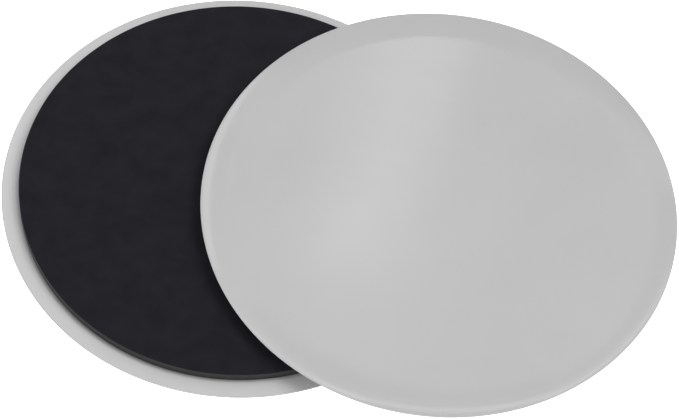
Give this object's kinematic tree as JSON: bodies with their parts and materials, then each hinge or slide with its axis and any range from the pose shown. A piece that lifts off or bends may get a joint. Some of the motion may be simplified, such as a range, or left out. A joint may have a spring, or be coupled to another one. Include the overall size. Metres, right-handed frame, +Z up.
{
  "type": "gliding disc pair",
  "caption": "Round plastic gliding discs with fabric-faced foam pads, stacked pad to pad with the top one turned over and set off to one side; they slide under the hands or feet.",
  "frame": {"origin": "centre of the lower disc's sliding face, on the surface that the pair stands on", "axes": "+Z up through both discs; +X from the lower disc's centre towards the upper disc's centre"},
  "size_m": [0.2537, 0.178, 0.0146],
  "materials": {
    "moulded_plastic": "gloss",
    "adhesive": "satin",
    "closed_cell_foam": "matte",
    "knit_fabric": "matte"
  },
  "bodies": {
    "lower_disc": {"lower_plastic_disc": "moulded_plastic", "lower_adhesive_sheet": "adhesive", "lower_foam_pad": "closed_cell_foam", "lower_fabric_face": "knit_fabric"},
    "upper_disc": {"upper_plastic_disc": "moulded_plastic", "upper_adhesive_sheet": "adhesive", "upper_foam_pad": "closed_cell_foam", "upper_fabric_face": "knit_fabric"}
  },
  "joints": [
    {"name": "upper_disc_lift", "type": "slide", "parent": "lower_disc", "child": "upper_disc", "axis": [0, 0, 1], "range_m": [0, 0.06]}
  ]
}
